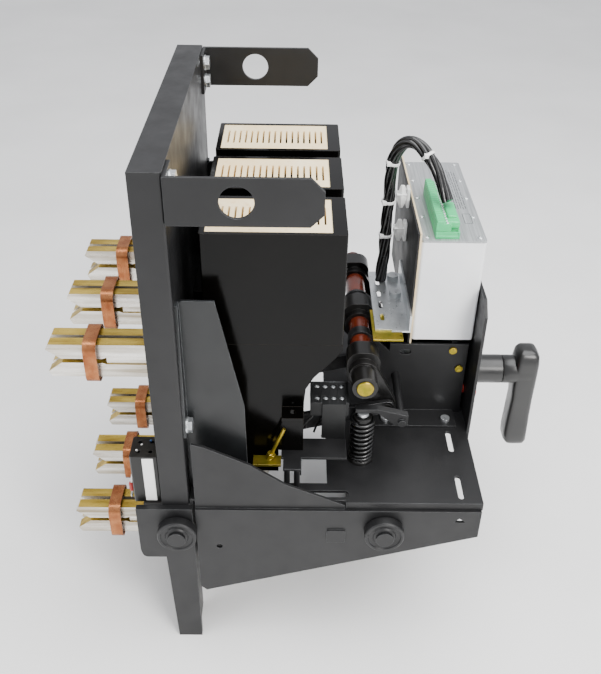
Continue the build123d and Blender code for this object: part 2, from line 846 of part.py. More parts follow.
def make_charging_parts():
    """Push rod under the cam and the closing spring's envelope."""
    cam_bottom = handle_z + 8 - 18
    with BuildPart() as push_rod:
        with BuildSketch(level(cam_bottom - gap)):
            with Locations((handle_x, cam_y)):
                Circle(11)
        extrude(amount=-4)
        with BuildSketch(level(cam_bottom - gap)):
            with Locations((handle_x, cam_y)):
                Circle(6)
        extrude(amount=-110)
        with BuildSketch(level(182)):
            with Locations((handle_x, cam_y)):
                Circle(21)
        extrude(amount=-6)
    save(push_rod.part, "push_rod")

    with BuildPart() as closing_spring:
        with BuildSketch(level(sheet)):
            with Locations((handle_x, cam_y)):
                Circle(20)
                Circle(14, mode=Mode.SUBTRACT)
        extrude(amount=176 - sheet)
    save(closing_spring.part, "closing_spring")


def make_rollers():
    with BuildPart() as roller_pins:
        for y, z in (front_roller, rear_roller):
            with BuildSketch(lengthwise(-frame_half + bracket_thickness)):
                with Locations((y, z)):
                    Circle(6)
            extrude(amount=-(bracket_thickness + roller_width + 3))
            with BuildSketch(lengthwise(-frame_half - roller_width - 1)):
                with Locations((y, z)):
                    Circle(9)
            extrude(amount=-2.5)
        mirror(about=Plane.YZ)
    save(roller_pins.part, "roller_pins")

    for side_name, side in sides.items():
        for place, (y, z) in {"front": front_roller, "rear": rear_roller}.items():
            with BuildPart() as roller:
                with BuildSketch(lengthwise(side * (frame_half + 0.6))):
                    with Locations((y, z)):
                        Circle(roller_radius)
                        Circle(6.05, mode=Mode.SUBTRACT)
                extrude(amount=side * (roller_width - 0.2))
                chamfer(roller.edges().filter_by(GeomType.CIRCLE), 0.8)
            save(roller.part, f"roller_{place}_{side_name}")


def make_trip_unit():
    wall = 2.0
    mid_x, mid_y = (unit_left + unit_right) / 2, (unit_front + unit_rear) / 2
    width, depth = unit_right - unit_left, unit_rear - unit_front
    with BuildPart() as trip_unit_case:
        with BuildSketch(level(unit_bottom)):
            with Locations((mid_x, mid_y)):
                RectangleRounded(width, depth, 3)
        extrude(amount=unit_top - 2.4 - unit_bottom)
        with BuildSketch(level(unit_bottom + wall)):
            with Locations((mid_x, mid_y)):
                Rectangle(width - 2 * wall, depth - 2 * wall)
        extrude(amount=unit_top, mode=Mode.SUBTRACT)
    save(trip_unit_case.part, "trip_unit_case")

    with BuildPart() as trip_unit_cover:
        with BuildSketch(level(unit_top - 2.4)):
            with Locations((mid_x, mid_y)):
                RectangleRounded(width, depth, 3)
        extrude(amount=2.4)
    save(trip_unit_cover.part, "trip_unit_cover")

    with BuildPart() as mounting_board:
        with BuildSketch(crosswise(unit_rear + 4.2)):
            with Locations((mid_x, 370)):
                Rectangle(width, 132)
        extrude(amount=4.1)
    save(mounting_board.part, "mounting_board")


def make_terminals():
    """Header on the trip unit's cover and the plug in it; 20 ways at 5.08 mm."""
    ways, pitch = 20, 5.08
    length = ways * pitch
    mid = (unit_left + 5 + length / 2, -124.0)
    with BuildPart() as terminal_header:
        with BuildSketch(level(unit_top)):
            with Locations(mid):
                Rectangle(length + 2, 24)
        extrude(amount=7.5)
    save(terminal_header.part, "terminal_header")

    with BuildPart() as terminal_plug:
        with BuildSketch(level(unit_top + 7.5)):
            with Locations((mid[0], mid[1] + 4.5)):
                Rectangle(length, 15)
        extrude(amount=11)
        with BuildSketch(level(unit_top + 7.5)):
            with Locations((loom_x, mid[1] - 5)):
                Rectangle(46, 14)
        extrude(amount=12)
    save(terminal_plug.part, "terminal_plug")


def make_shelf():
    """Zinc-plated slotted shelf on the board and the yellow bracket clipped under it."""
    board_face = unit_rear + 4.2
    with BuildPart() as shelf_bracket:
        with BuildSketch(level(330)):
            with Locations((16, -66)):
                Rectangle(118, 18)
                with GridLocations(24, 1, 4, 1):
                    SlotOverall(13, 4.5, mode=Mode.SUBTRACT)
        extrude(amount=2)
        with BuildSketch(level(328)):
            with Locations((16, (board_face - 74) / 2)):
                Rectangle(118, -74 - board_face)
        extrude(amount=2)
        with BuildSketch(crosswise(board_face + 2)):
            with Locations((16, 338)):
                Rectangle(118, 20)
        extrude(amount=2)
    save(shelf_bracket.part, "shelf_bracket")

    with BuildPart() as shelf_clip:
        with BuildSketch(level(328)):
            with Locations((-31, -64)):
                Rectangle(56, 20)
            with Locations((-52, -78)):
                Rectangle(14, 14)
        extrude(amount=2)
    save(shelf_clip.part, "shelf_clip")


def make_harness():
    """Wrapped wiring loom: up from the shelf, over the trip unit's edge and down into the plug."""
    radius = 7.0
    route = [(56, -70, 332.6), (57, -72, 385), (57, -72, 440), (55, -73, 484), (50, -86, 503),
             (42, -99, 499), (30, -112, 484), (19, -121, 467), (loom_x + 5, -127, 452.3)]
    radii = []
    for before, here, after in zip(route, route[1:], route[2:]):
        run_in, run_out = Vector(here) - Vector(before), Vector(after) - Vector(here)
        half_turn = radians(run_in.get_angle(run_out)) / 2
        shorter = min(run_in.length, run_out.length)
        radii.append(min(0.45 * shorter / max(sin(half_turn) / cos(half_turn), 0.02), 400))
    print("harness bend radii", [round(r, 1) for r in radii])
    with BuildPart() as harness:
        with BuildLine() as path:
            FilletPolyline(*route, radius=radii)
        start = path.wire() @ 0
        with BuildSketch(Plane(start, z_dir=path.wire() % 0)):
            Circle(radius)
        sweep(transition=Transition.RIGHT)
    save(harness.part, "harness")
    section = 3.14159265 * radius ** 2
    print("harness volume over section times length",
          round(harness.part.volume / (section * path.wire().length), 4))

    board_face = unit_rear + 4.2
    with BuildPart() as tie_mounts:
        for z in (396, 436):
            with BuildSketch(level(z - 14)):
                with Locations((56, board_face + 7.2)):
                    Rectangle(16, 14.4)
            extrude(amount=28)
    save(tie_mounts.part, "tie_mounts")


os.makedirs("parts", exist_ok=True)
make_rear_panel()
make_side_brackets()
make_side_plates()
make_platform()
make_side_barriers()
make_lifting_ears()
make_frame_bolts()
make_mechanism_plates()
make_mechanism_rivets()
make_front_plate()
make_spring_housing()
make_pole_bases()
for pole_name, pole_x in poles.items():
    make_arc_chute(pole_name, pole_x)
make_chute_grids()
make_splitter_plates()
for level_name, level_z in levels.items():
    make_studs(level_name, level_z)
    make_fingers(level_name, level_z)
make_fixed_contacts()
make_finger_bands()
make_stud_insulators()
make_current_transformers()
make_secondary_block()
make_crossbar()
make_crossbar_hubs()
make_drive_links()
make_moving_contacts()
make_pole_feet()
make_stay_rod()
make_terminal_block()
make_actuator()
make_trip_bar()
make_handle()
make_charging_parts()
make_rollers()
make_trip_unit()
make_terminals()
make_shelf()
make_harness()
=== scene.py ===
"""Looks of the three-pole drawout power circuit breaker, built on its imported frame."""
import math
import random

import bmesh
import bpy
from mathutils import Matrix, Vector


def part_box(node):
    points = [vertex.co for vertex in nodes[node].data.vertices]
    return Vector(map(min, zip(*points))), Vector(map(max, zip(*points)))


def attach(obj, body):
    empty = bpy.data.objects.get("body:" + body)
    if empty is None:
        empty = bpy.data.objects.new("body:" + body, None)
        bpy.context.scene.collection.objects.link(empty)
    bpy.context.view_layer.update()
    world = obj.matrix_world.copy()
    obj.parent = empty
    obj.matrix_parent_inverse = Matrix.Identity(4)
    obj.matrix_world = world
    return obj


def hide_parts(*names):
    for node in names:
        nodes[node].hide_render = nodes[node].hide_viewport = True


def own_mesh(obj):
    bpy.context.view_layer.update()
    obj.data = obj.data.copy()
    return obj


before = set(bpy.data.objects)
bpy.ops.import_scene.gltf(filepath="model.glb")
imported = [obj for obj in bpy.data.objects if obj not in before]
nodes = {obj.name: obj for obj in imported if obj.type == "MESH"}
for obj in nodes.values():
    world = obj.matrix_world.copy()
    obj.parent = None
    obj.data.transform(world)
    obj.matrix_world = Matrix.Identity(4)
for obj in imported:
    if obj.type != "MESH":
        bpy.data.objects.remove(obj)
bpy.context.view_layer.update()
MM = 0.001
MIDDLE_Y = 6.5          # mid length in mm, from the plane that the places below are measured from
X, Y, Z = Vector((1, 0, 0)), Vector((0, 1, 0)), Vector((0, 0, 1))
random.seed(7)


def mm(x, y, z):
    """A place given in mm, as a vector in metres in the object's frame."""
    return Vector((x, y - MIDDLE_Y, z)) * MM


def box(name):
    """Lowest and highest corners of a node in mm, from the same plane as mm() takes."""
    return [corner / MM + Vector((0, MIDDLE_Y, 0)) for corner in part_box(name)]


def rgb(code):
    """Linear colour of an sRGB hex code."""
    values = [int(code[i:i + 2], 16) / 255 for i in (1, 3, 5)]
    return [v / 12.92 if v < 0.04045 else ((v + 0.055) / 1.055) ** 2.4 for v in values] + [1]


# ---- materials ----

class Surface:
    """A material with a Principled shader and short ways to add the nodes that feed it."""

    def __init__(self, name):
        self.material = bpy.data.materials.new(name)
        self.material.use_nodes = True
        self.nodes = self.material.node_tree.nodes
        self.links = self.material.node_tree.links
        self.shader = self.nodes["Principled BSDF"]
        self.place = self.nodes.new("ShaderNodeTexCoord").outputs["Object"]

    def stretched(self, scale):
        mapping = self.nodes.new("ShaderNodeMapping")
        mapping.inputs["Scale"].default_value = scale
        self.links.new(self.place, mapping.inputs["Vector"])
        return mapping.outputs["Vector"]

    def noise(self, scale, detail=4.0, stretch=(1, 1, 1), roughness=0.55):
        noise = self.nodes.new("ShaderNodeTexNoise")
        noise.inputs["Scale"].default_value = scale
        noise.inputs["Detail"].default_value = detail
        noise.inputs["Roughness"].default_value = roughness
        self.links.new(self.stretched(stretch), noise.inputs["Vector"])
        return noise.outputs["Fac"]

    def scale(self, value, low, high, start=0.3, end=0.7):
        span = self.nodes.new("ShaderNodeMapRange")
        span.inputs["From Min"].default_value = start
        span.inputs["From Max"].default_value = end
        span.inputs["To Min"].default_value = low
        span.inputs["To Max"].default_value = high
        self.links.new(value, span.inputs["Value"])
        return span.outputs["Result"]

    def mix(self, factor, first, second):
        """A colour between two; each is a hex code or another colour output."""
        blend = self.nodes.new("ShaderNodeMix")
        blend.data_type = "RGBA"
        self.links.new(factor, blend.inputs["Factor"])
        for value, socket in ((first, blend.inputs["A"]), (second, blend.inputs["B"])):
            if isinstance(value, str):
                socket.default_value = rgb(value)
            else:
                self.links.new(value, socket)
        return blend.outputs["Result"]

    def facing_up(self, start=0.5, end=0.75):
        geometry = self.nodes.new("ShaderNodeNewGeometry")
        split = self.nodes.new("ShaderNodeSeparateXYZ")
        self.links.new(geometry.outputs["True Normal"], split.inputs["Vector"])
        return self.scale(split.outputs["Z"], 0, 1, start, end)

    # The lighter edge colour mixed in by this mask is partly rubbed-through edges and partly a
    # painted highlight.
    def edge_wear_and_highlight(self, radius):
        """From 0 to 1, how far a rounded corner's normal turns from the face's; and the normal."""
        bevel = self.nodes.new("ShaderNodeBevel")
        bevel.samples = 4
        bevel.inputs["Radius"].default_value = radius
        geometry = self.nodes.new("ShaderNodeNewGeometry")
        dot = self.nodes.new("ShaderNodeVectorMath")
        dot.operation = "DOT_PRODUCT"
        self.links.new(bevel.outputs["Normal"], dot.inputs[0])
        self.links.new(geometry.outputs["Normal"], dot.inputs[1])
        return self.scale(dot.outputs["Value"], 1, 0, 0.72, 0.985), bevel.outputs["Normal"]

    def bump(self, height, strength, distance, normal=None):
        bump = self.nodes.new("ShaderNodeBump")
        bump.inputs["Strength"].default_value = strength
        bump.inputs["Distance"].default_value = distance
        self.links.new(height, bump.inputs["Height"])
        if normal is not None:
            self.links.new(normal, bump.inputs["Normal"])
        self.links.new(bump.outputs["Normal"], self.shader.inputs["Normal"])

    def colour(self, output):
        self.links.new(output, self.shader.inputs["Base Color"])

    def rough(self, output):
        self.links.new(output, self.shader.inputs["Roughness"])

    def fixed(self, **values):
        for name, value in values.items():
            self.shader.inputs[name.replace("_", " ")].default_value = value


def coating(name, base, patch, edge, rough, grain=900, depth=0.00004, radius=0.0007, **fixed):
    """Paint or moulded plastic: patchy colour, fine grain, and lighter edges, partly rubbed through
    and partly a painted highlight.
    """
    s = Surface(name)
    s.fixed(**fixed)
    low, high = rough
    patches = s.noise(18, 5)
    wear_and_highlight, normal = s.edge_wear_and_highlight(radius)
    broken = s.nodes.new("ShaderNodeMath")
    broken.operation = "MULTIPLY"
    s.links.new(wear_and_highlight, broken.inputs[0])
    s.links.new(s.scale(s.noise(120, 3), 0.25, 1.0, 0.35, 0.6), broken.inputs[1])
    ground = s.mix(s.scale(patches, 0, 1), base, patch)
    # Edges lighter in colour: patchy rubbing, and a painted highlight along them.
    s.colour(s.mix(broken.outputs["Value"], ground, edge))
    s.rough(s.scale(s.noise(45, 6), low, high))
    s.bump(s.noise(grain, 2), 0.5, depth, normal)
    return s.material


def plated(name, base, patch, edge, rough, streak=(1, 1, 1), metallic=0.9, grain=260, **fixed):
    """Plated or bare metal with blotches, fine scratches along one way and bright edges painted as
    highlights.
    """
    s = Surface(name)
    s.fixed(Metallic=metallic, **fixed)
    low, high = rough
    wear_and_highlight, normal = s.edge_wear_and_highlight(0.0004)
    blotches = s.noise(70, 6)
    scratches = s.noise(grain, 3, streak)
    ground = s.mix(s.scale(blotches, 0, 1), base, patch)
    # Edges lighter in colour: a painted highlight.
    s.colour(s.mix(wear_and_highlight, ground, edge))
    s.rough(s.scale(scratches, low, high))
    s.bump(scratches, 0.35, 0.00005, normal)
    return s.material


def finger_metal():
    """Silver-plated copper: bright sides, and faces that point up painted yellow as a reflection of
    warm surroundings.
    """
    s = Surface("finger_metal")
    s.fixed(Metallic=0.82)
    streaks = s.noise(60, 5, (1.0, 0.12, 2.2))
    sides = s.mix(s.scale(streaks, 0, 1), "#9A8E78", "#F4F1EA")
    painted_reflection_tops = s.mix(s.scale(s.noise(90, 4, (1.0, 0.2, 1.0)), 0, 1), "#8C6F1C", "#E2C25A")
    # Faces turned up get yellow from their direction alone: a painted reflection.
    s.colour(s.mix(s.facing_up(), sides, painted_reflection_tops))
    s.rough(s.scale(s.noise(220, 3, (1, 0.15, 1)), 0.2, 0.42))
    s.bump(s.noise(300, 3, (1, 0.1, 1)), 0.4, 0.00006)
    return s.material


def ceramic():
    """Cream fired ceramic, stained, with darker grains."""
    s = Surface("ceramic")
    grains = s.noise(160, 6)
    stains = s.noise(22, 4)
    fired = s.mix(s.scale(stains, 0, 1), "#F6DBA6", "#FCEBC4")
    s.colour(s.mix(s.scale(grains, 0, 0.5, 0.55, 0.8), fired, "#D9B57C"))
    s.rough(s.scale(grains, 0.65, 0.9))
    s.bump(s.noise(700, 4), 0.5, 0.00012)
    return s.material


def brushed_cover():
    """Light grey anodised cover with its brushing along X."""
    s = Surface("brushed_cover")
    s.fixed(Metallic=0.55)
    lines = s.noise(900, 2, (0.02, 1, 1))
    s.colour(s.mix(s.scale(lines, 0, 1), "#96999B", "#B9BCBE"))
    s.rough(s.scale(lines, 0.34, 0.5))
    s.bump(lines, 0.3, 0.00003)
    return s.material


def wrap_tape():
    """Glossy black tape and wire sleeving with crinkles."""
    s = Surface("wrap_tape")
    s.fixed(Coat_Weight=0.6, Coat_Roughness=0.08, Specular_IOR_Level=0.4)
    crinkle = s.noise(330, 5)
    s.colour(s.mix(s.scale(crinkle, 0, 1), "#030303", "#0C0C0D"))
    s.rough(s.scale(s.noise(120, 4), 0.22, 0.5))
    s.bump(crinkle, 0.8, 0.0004)
    return s.material


BLACK_PAINT = coating("black_paint", "#111112", "#19191A", "#5E6062", (0.36, 0.52),
                      Specular_IOR_Level=0.4)
BLACK_FIBRE = coating("black_fibre", "#121314", "#1D1F20", "#7C8084", (0.28, 0.44), grain=500,
                      Specular_IOR_Level=0.45)
BLACK_RESIN = coating("black_resin", "#020202", "#060504", "#2E2820", (0.12, 0.22), grain=420,
                      depth=0.00002, Specular_IOR_Level=0.16)
DARK_RESIN = coating("dark_resin", "#0A0A0A", "#131211", "#3F3D3B", (0.25, 0.42), grain=600,
                     Specular_IOR_Level=0.4)
BLACK_PLASTIC = coating("black_plastic", "#0B0B0C", "#121313", "#46494B", (0.3, 0.5),
                        Specular_IOR_Level=0.4)
HANDLE_PLASTIC = coating("handle_plastic", "#161616", "#212120", "#4E4E4C", (0.28, 0.42), grain=1200,
                         depth=0.00005, Coat_Weight=0.2, Coat_Roughness=0.2)
RED_BROWN = coating("red_brown_tube", "#3A1209", "#6B2A18", "#8E4A33", (0.16, 0.3))
RED = coating("red_plastic", "#A01D1A", "#C23028", "#E0645A", (0.25, 0.4))
BLUE = coating("blue_plastic", "#2C5C9E", "#3F74BC", "#7EA6DC", (0.3, 0.45))
WHITE_PLASTIC = coating("white_plastic", "#E8E8E6", "#F5F5F3", "#FFFFFF", (0.35, 0.5))
WHITE_PAINT = coating("white_paint", "#ECEEF0", "#F7F8F9", "#FFFFFF", (0.3, 0.42), grain=1100)
GREEN = coating("green_plastic", "#1FB46A", "#3FCB83", "#86E6B4", (0.28, 0.42), grain=700)
PRINT = coating("print_ink", "#3C3E41", "#4A4D50", "#5E6164", (0.5, 0.7))
BOARD = coating("cream_board", "#D8C19A", "#E9D8B4", "#F6EAD0", (0.5, 0.7), grain=350)
# Near-black sheet colour standing for the shadow on the mounting board's face: painted shade.
SHADE_SHEET = coating("painted_shade_sheet", "#121212", "#1B1B1B", "#3A3A3A", (0.5, 0.7))
ZINC = plated("zinc", "#C4C8CA", "#DCDFE1", "#F7F8F9", (0.26, 0.4))
CHROMATE = plated("yellow_chromate", "#7C7A1E", "#B79B38", "#E8CF7A", (0.26, 0.44))
STEEL = plated("dark_steel", "#2C2C2D", "#474748", "#9A9A9A", (0.28, 0.5), metallic=0.8)
COPPER = plated("copper_band", "#8A4E2E", "#B87B50", "#F0C39C", (0.22, 0.38), streak=(1, 1, 0.15))
FINGERS = finger_metal()
CERAMIC = ceramic()
COVER = brushed_cover()
WRAP = wrap_tape()

FINISHES = {
    BLACK_PAINT: ["rear_panel", "side_brackets", "side_plates", "platform", "front_plate",
                  "spring_housing", "lifting_ears", "mechanism_plates", "pole_feet", "trip_bar",
                  "roller_pins"],
    BLACK_FIBRE: ["side_barriers"],
    BLACK_RESIN: ["pole_bases", "arc_chute_a", "arc_chute_b", "arc_chute_c"],
    DARK_RESIN: ["stud_insulators", "current_transformers", "secondary_block", "crossbar_hubs"],
    BLACK_PLASTIC: ["terminal_block"],
    CERAMIC: ["chute_grids"],
    RED_BROWN: ["crossbar_sleeves"],
    RED: ["trip_button"],
    ZINC: ["frame_bolts", "shelf_bracket", "push_rod", "actuator_plunger", "charging_cam"],
    CHROMATE: ["mechanism_rivets", "stay_rod", "shelf_clip", "crossbar_shaft"],
    STEEL: ["splitter_plates", "drive_links", "contact_pins", "crossbar_bearings"],
    HANDLE_PLASTIC: ["handle_shaft"],
    FINGERS: ["upper_studs", "lower_studs", "upper_fingers", "lower_fingers", "fixed_contacts",
              "moving_contacts"],
    COPPER: ["finger_bands"],
    WHITE_PAINT: ["trip_unit_case"],
    COVER: ["trip_unit_cover"],
}


def paint_nodes():
    for material, names in FINISHES.items():
        for name in names:
            mesh = nodes[name].data
            mesh.materials.clear()
            mesh.materials.append(material)


# ---- mesh building ----

class Piece:
    """One mesh put together from rounded solids; part numbers choose among its materials."""

    def __init__(self, name, *materials):
        self.name = name
        self.materials = materials
        self.mesh = bmesh.new()

    def _take(self, before, part):
        """Give the faces made since then their material, and shade them smooth."""
        for face in self.mesh.faces:
            if face not in before:
                face.material_index = part
                face.smooth = True

    def block(self, low, high, part=0, round_by=0.4, segments=2):
        """A rounded block between two corners in mm."""
        before = set(self.mesh.faces)
        centre = (mm(*low) + mm(*high)) / 2
        size = mm(*high) - mm(*low)
        matrix = Matrix.Translation(centre) @ Matrix.Diagonal((*size, 1))
        made = bmesh.ops.create_cube(self.mesh, size=1, matrix=matrix)
        edges = list({edge for vertex in made["verts"] for edge in vertex.link_edges})
        if round_by:
            offset = min(round_by * MM, 0.45 * min(size))
            bmesh.ops.bevel(self.mesh, geom=edges, offset=offset, segments=segments,
                            affect="EDGES", profile=0.5)
        self._take(before, part)

    def turned(self, profile, centre, axis, part=0, segments=48):
        """A profile of (radius, height) points in mm, turned about an axis through centre."""
        before = set(self.mesh.faces)
        side = axis.orthogonal().normalized()
        other = axis.cross(side)
        rings = []
        for radius, height in profile:
            base = mm(*centre) + axis * height * MM
            if radius == 0:
                rings.append([self.mesh.verts.new(base)])
                continue
            rings.append([self.mesh.verts.new(base + radius * MM * (
                side * math.cos(2 * math.pi * i / segments)
                + other * math.sin(2 * math.pi * i / segments))) for i in range(segments)])
        for lower, upper in zip(rings, rings[1:]):
            for i in range(segments):
                j = (i + 1) % segments
                corners = [lower[i % len(lower)], lower[j % len(lower)],
                           upper[j % len(upper)], upper[i % len(upper)]]
                unique = list(dict.fromkeys(corners))
                if len(unique) > 2:
                    self.mesh.faces.new(unique)
        self._take(before, part)

    def tube(self, points, radius, part=0, segments=12, closed=False):
        """A round bar along points in metres, with flat end caps unless it is closed."""
        before = set(self.mesh.faces)
        count = len(points)
        normal = None
        rings = []
        for i, point in enumerate(points):
            ahead = points[(i + 1) % count] if closed or i < count - 1 else point
            behind = points[i - 1] if closed or i > 0 else point
            along = (ahead - behind).normalized()
            if normal is None:
                normal = along.orthogonal().normalized()
            normal = (normal - along * normal.dot(along)).normalized()
            across = along.cross(normal)
            rings.append([self.mesh.verts.new(point + radius * MM * (
                normal * math.cos(2 * math.pi * k / segments)
                + across * math.sin(2 * math.pi * k / segments))) for k in range(segments)])
        pairs = list(zip(rings, rings[1:]))
        if closed:
            pairs.append((rings[-1], rings[0]))
        for a, b in pairs:
            for k in range(segments):
                n = (k + 1) % segments
                self.mesh.faces.new((a[k], a[n], b[n], b[k]))
        if not closed:
            self.mesh.faces.new(list(reversed(rings[0])))
            self.mesh.faces.new(rings[-1])
        self._take(before, part)

    def done(self, body="frame", stands_for=(), angle=38):
        """Make the object, smooth it up to the angle, and let it ride on its body."""
        bmesh.ops.remove_doubles(self.mesh, verts=self.mesh.verts, dist=1e-7)
        bmesh.ops.recalc_face_normals(self.mesh, faces=self.mesh.faces)
        data = bpy.data.meshes.new(self.name)
        self.mesh.to_mesh(data)
        self.mesh.free()
        for material in self.materials:
            data.materials.append(material)
        data.set_sharp_from_angle(angle=math.radians(angle))
        obj = bpy.data.objects.new(self.name, data)
        bpy.context.scene.collection.objects.link(obj)
        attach(obj, body)
        if stands_for:
            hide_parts(*stands_for)
        return obj


def helix(centre, radius, low, high, pitch, per_turn=20):
    """Points of a coil about a vertical line, its end turns wound close; sizes in mm."""
    end_turns, end_rise = 1.0, 0.45     # turns wound close at each end, and their rise in pitches
    turns = (high - low) / pitch
    full_rise = turns - 2 * end_turns * (1 - end_rise)
    steps = int(turns * per_turn)
    points = []
    for i in range(steps + 1):
        turn = turns * i / steps
        close = min(turn, end_turns) + max(0, turn - turns + end_turns)
        rise = turn - close * (1 - end_rise)
        angle = 2 * math.pi * turn
        points.append(mm(centre[0] + radius * math.cos(angle),
                         centre[1] + radius * math.sin(angle),
                         low + (high - low) * rise / full_rise))
    return points


# ---- camera, light and stage ----

def make_camera():
    yaw, pitch, roll = math.radians(-0.49), math.radians(34.84), math.radians(0.91)
    forward = Vector((math.cos(pitch) * math.cos(yaw), math.cos(pitch) * math.sin(yaw),
                      -math.sin(pitch)))
    right = Vector((math.sin(yaw), -math.cos(yaw), 0))
    up = right.cross(forward)
    rolled_right = math.cos(roll) * right + math.sin(roll) * up
    rolled_up = math.cos(roll) * up - math.sin(roll) * right
    data = bpy.data.cameras.new("camera")
    data.sensor_width = 36
    data.lens = 45.6
    camera = bpy.data.objects.new("camera", data)
    axes = Matrix((rolled_right, rolled_up, -forward)).transposed()
    camera.matrix_world = Matrix.Translation(mm(-776.4, 26.9, 831.5)) @ axes.to_4x4()
    bpy.context.scene.collection.objects.link(camera)
    bpy.context.scene.camera = camera


def make_light(name, place, target, power, size, tint=(1, 1, 1)):
    data = bpy.data.lights.new(name, "AREA")
    data.energy = power
    data.size = size
    data.color = tint
    light = bpy.data.objects.new(name, data)
    light.location = place
    light.rotation_euler = (Vector(target) - Vector(place)).to_track_quat("-Z", "Y").to_euler()
    bpy.context.scene.collection.objects.link(light)


def make_stage():
    mesh = bmesh.new()
    bmesh.ops.create_grid(mesh, x_segments=1, y_segments=1, size=6)
    data = bpy.data.meshes.new("floor")
    mesh.to_mesh(data)
    mesh.free()
    s = Surface("floor_paper")
    s.colour(s.mix(s.scale(s.noise(3, 3), 0, 1), "#F1F1F0", "#FAFAF9"))
    s.rough(s.scale(s.noise(20, 3), 0.75, 0.9))
    data.materials.append(s.material)
    floor = bpy.data.objects.new("floor", data)
    bpy.context.scene.collection.objects.link(floor)
    world = bpy.data.worlds.new("studio")
    world.use_nodes = True
    background = world.node_tree.nodes["Background"]
    background.inputs["Color"].default_value = (0.95, 0.96, 1.0, 1)
    background.inputs["Strength"].default_value = 0.95
    bpy.context.scene.world = world
    make_light("overhead", (-0.2, -0.3, 1.9), (0, 0, 0.2), 46, 1.6)
    make_light("key", (-1.4, -0.9, 1.3), (0, 0, 0.25), 34, 0.7, (1, 0.98, 0.95))
    make_light("left_fill", (-0.9, 1.5, 0.9), (0, 0.1, 0.25), 12, 1.2)


# ---- wiring loom ----

LOOM_ROUTE = [(56, -70, 332.6), (57, -72, 385), (57, -72, 440), (55, -73, 484), (50, -86, 503),
              (42, -99, 499), (30, -112, 484), (19, -121, 467), (9, -127, 452.3)]
LOOM_STEP = 0.0025      # metres from one point of a strand to the next
LOOM_TWIST = 0.16       # metres of loom in which its strands turn once


def smooth_route(name, route):
    """Points along a smooth line through the route's runs, in metres."""
    curve = bpy.data.curves.new(name, "CURVE")
    curve.dimensions = "3D"
    curve.resolution_u = 12
    spline = curve.splines.new("NURBS")
    spline.points.add(len(route) - 1)
    for point, place in zip(spline.points, route):
        point.co = (*mm(*place), 1)
    spline.order_u = 3
    spline.use_endpoint_u = True
    obj = bpy.data.objects.new(name, curve)
    bpy.context.scene.collection.objects.link(obj)
    line = bpy.data.meshes.new_from_object(obj)
    points = [v.co.copy() for v in line.vertices]
    bpy.data.objects.remove(obj)
    bpy.data.meshes.remove(line)
    return points


def evenly(points, step):
    """The same line with points a step apart, in metres."""
    result, left = [points[0]], step
    for a, b in zip(points, points[1:]):
        length = (b - a).length
        done = 0.0
        while length - done >= left:
            done += left
            result.append(a.lerp(b, done / length))
            left = step
        left -= length - done
    return result


def along_frames(points):
    """(point, direction, normal, across) at each point, turning as little as possible."""
    normal = None
    frames = []
    for i, point in enumerate(points):
        along = (points[min(i + 1, len(points) - 1)] - points[max(i - 1, 0)]).normalized()
        if normal is None:
            normal = along.orthogonal().normalized()
        normal = (normal - along * normal.dot(along)).normalized()
        frames.append((point, along, normal, along.cross(normal)))
    return frames


def make_loom():
    """Sleeved wires laid up in a slow twist about a core, with nylon ties."""
    line = evenly(smooth_route("loom_line", LOOM_ROUTE), LOOM_STEP)
    frames = along_frames(line)
    loom = Piece("loom", WRAP)
    strands = 5
    for k in range(strands):
        points = []
        for i, (point, _, normal, across) in enumerate(frames):
            angle = 2 * math.pi * (k / strands + i * LOOM_STEP / LOOM_TWIST)
            reach = (3.6 + 0.55 * math.sin(i * 0.33 + k * 1.7)) * MM
            points.append(point + reach * (normal * math.cos(angle) + across * math.sin(angle)))
        loom.tube(points, 2.9, segments=12)
    loom.tube(line, 3.0, segments=12)
    loom.done(stands_for=["harness"])

    ties = Piece("loom_ties", WHITE_PLASTIC)
    bend_y = -0.09      # metres; past this the loom comes down towards the plug
    for height, past_bend in ((391, False), (431, False), (474, False), (491, True)):
        point, along, normal, across = min(frames, key=lambda spot: abs(
            spot[0].z - height * MM) + ((spot[0].y < bend_y) != past_bend))
        ring = []
        for k in range(28):
            angle = 2 * math.pi * k / 28
            ring.append(point + 6.9 * MM * (normal * math.cos(angle) + across * math.sin(angle)))
        for shift in (-0.9, 0.0, 0.9):
            ties.tube([p + along * shift * MM for p in ring], 0.75, segments=8, closed=True)
        head = point + across * 6.6 * MM
        middle = head / MM + Vector((0, MIDDLE_Y, 0))
        reach = Vector((2.3, 2.3, 2.3))
        ties.block(middle - reach, middle + reach, round_by=0.6)
    for height in (396, 436):
        ties.block((50, -94, height - 11), (62, -90.5, height + 11), round_by=1)
        ties.turned([(0, -13.5), (2.2, -12.5), (6.2, -2), (6.4, 2), (2.4, 12.5), (0, 13.5)],
                    (56, -86, height), Z, segments=6)
        ties.block((54, -92, height - 2.5), (58, -79.4, height + 2.5), round_by=0.7)
        ties.block((50.5, -93.9, height + 3.2), (61.5, -79.5, height + 4.6), round_by=0.4)
    ties.done(stands_for=["tie_mounts"])

    low, high = box("mounting_board")
    board = Piece("board_layers", BOARD, SHADE_SHEET)
    board.block(low, (high.x, low.y + 2, high.z), 0, 0.3)
    # The black layer stands for the shadow over the board's rear face: painted shade.
    board.block((low.x + 0.6, low.y + 1.9, low.z + 0.6), (high.x - 0.6, high.y, high.z - 0.6),
                1, 0.3)
    board.done(stands_for=["mounting_board"])


# ---- trip unit ----

def screw(piece, place, radius, axis=Z, part=0, height=1.2):
    """A pan head with a round recess."""
    piece.turned([(radius, 0), (radius, height * 0.55), (radius * 0.8, height * 0.9),
                  (radius * 0.35, height), (radius * 0.3, height * 0.45), (0, height * 0.45)],
                 place, axis, part, segments=24)


